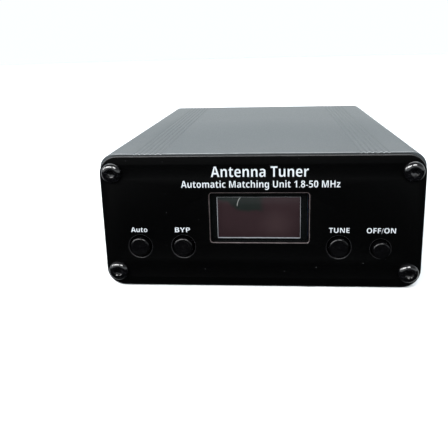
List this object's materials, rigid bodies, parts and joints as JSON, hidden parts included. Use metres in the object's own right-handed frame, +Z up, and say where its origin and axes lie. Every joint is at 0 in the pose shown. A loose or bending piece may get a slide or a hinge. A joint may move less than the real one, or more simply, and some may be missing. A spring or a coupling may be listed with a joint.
{
  "type": "antenna tuner",
  "caption": "Small automatic antenna tuner: black split aluminium case with a display and push buttons in front, coaxial sockets, ground post and power inlet behind.",
  "frame": {"origin": "on the plane the case rests on, under the middle of the extruded case", "axes": "+X to the right seen from the front, +Y to the rear along the case and the sockets, +Z up"},
  "size_m": [0.088, 0.1342, 0.038],
  "materials": {
    "case_anodising": "satin black anodised extrusion",
    "panel_anodising": "fine satin black anodised plate with white print",
    "black_screw_steel": "black oxide steel",
    "key_plastic": "glossy black moulding",
    "switch_plastic": "black moulding",
    "display_film": "dark glossy polarising film",
    "display_glass": "black backed display glass",
    "display_laminate": "blue lacquered circuit board",
    "board_laminate": "green lacquered circuit board",
    "tin_plate": "tin plated",
    "spring_steel": "drawn spring wire",
    "nickel_plate": "satin nickel plate",
    "socket_insulator": "white fluoroplastic",
    "silver_contact": "silver plated brass",
    "zinc_steel": "zinc plated steel",
    "ground_brass": "turned brass",
    "inlet_plastic": "black moulding",
    "relay_case": "pale moulding",
    "iron_powder_core": "red lacquered iron powder",
    "enamelled_copper": "enamelled copper wire",
    "ferrite": "dark sintered ferrite",
    "ceramic": "tan ceramic",
    "chip_moulding": "black epoxy moulding",
    "capacitor_can": "drawn aluminium can",
    "battery_film": "blue shrink film",
    "foam": "grey closed cell foam",
    "connector_plastic": "ivory moulding",
    "lead_insulation": "soft insulated wire",
    "panel_print": "white printed lettering"
  },
  "bodies": {
    "chassis": {"bottom_shell": "case_anodising", "top_shell": "case_anodising", "front_panel": "panel_anodising", "rear_panel": "panel_anodising", "front_panel_screws": "black_screw_steel", "rear_panel_screws": "black_screw_steel", "tact_switch_housings": "switch_plastic", "power_switch_housing": "switch_plastic", "display_polariser": "display_film", "display_glass": "display_glass", "display_board": "display_laminate", "main_board": "board_laminate", "display_pins": "tin_plate", "ground_lug": "tin_plate", "inlet_tags": "tin_plate", "inlet_pin": "tin_plate", "bridge_lines": "tin_plate", "power_switch_spring": "spring_steel", "antenna_socket_shell": "nickel_plate", "transmitter_socket_shell": "nickel_plate", "inlet_nut": "nickel_plate", "antenna_socket_insulator": "socket_insulator", "transmitter_socket_insulator": "socket_insulator", "antenna_socket_contact": "silver_contact", "transmitter_socket_contact": "silver_contact", "socket_screws": "zinc_steel", "socket_nuts": "zinc_steel", "ground_stud": "ground_brass", "ground_lock_nuts": "ground_brass", "inlet_body": "inlet_plastic", "capacitor_relays": "relay_case", "inductor_relays": "relay_case", "toroid_cores": "iron_powder_core", "toroid_windings": "enamelled_copper", "air_coils": "enamelled_copper", "bridge_cores": "ferrite", "tuning_capacitors": "ceramic", "controller_socket": "chip_moulding", "controller_chip": "chip_moulding", "driver_chips": "chip_moulding", "voltage_regulator": "chip_moulding", "filter_capacitors": "capacitor_can", "battery_pack": "battery_film", "battery_pad": "foam", "battery_header": "connector_plastic", "battery_plug": "connector_plastic", "battery_leads": "lead_insulation", "inlet_leads": "lead_insulation", "socket_leads": "lead_insulation", "ground_lead": "lead_insulation"},
    "auto_key": {"auto_button": "key_plastic", "auto_stem": "switch_plastic"},
    "bypass_key": {"bypass_button": "key_plastic", "bypass_stem": "switch_plastic"},
    "tune_key": {"tune_button": "key_plastic", "tune_stem": "switch_plastic"},
    "power_key": {"power_button": "key_plastic", "power_stem": "switch_plastic"},
    "ground_washer_body": {"ground_washer": "ground_brass"},
    "ground_nut_body": {"ground_thumb_nut": "ground_brass"}
  },
  "joints": [
    {"name": "auto_press", "type": "slide", "parent": "chassis", "child": "auto_key", "axis": [0, 1, 0], "range_m": [0, 0.00025], "stiffness_N_per_m": 1500},
    {"name": "bypass_press", "type": "slide", "parent": "chassis", "child": "bypass_key", "axis": [0, 1, 0], "range_m": [0, 0.00025], "stiffness_N_per_m": 1500},
    {"name": "tune_press", "type": "slide", "parent": "chassis", "child": "tune_key", "axis": [0, 1, 0], "range_m": [0, 0.00025], "stiffness_N_per_m": 1500},
    {"name": "power_press", "type": "slide", "parent": "chassis", "child": "power_key", "axis": [0, 1, 0], "range_m": [0, 0.0015], "stiffness_N_per_m": 1000, "deforming": ["power_switch_spring"]},
    {"name": "ground_nut_travel", "type": "slide", "parent": "chassis", "child": "ground_washer_body", "axis": [0, 1, 0], "range_m": [0, 0.003]},
    {"name": "ground_nut_turn", "type": "hinge", "parent": "ground_washer_body", "child": "ground_nut_body", "pos_m": [0, 0.0634, 0.0265], "axis": [0, 1, 0], "range_deg": [0, 1543]}
  ],
  "couplings": [
    {"joint": "ground_nut_turn", "follows": "ground_nut_travel", "rad_per_m": 8976}
  ]
}
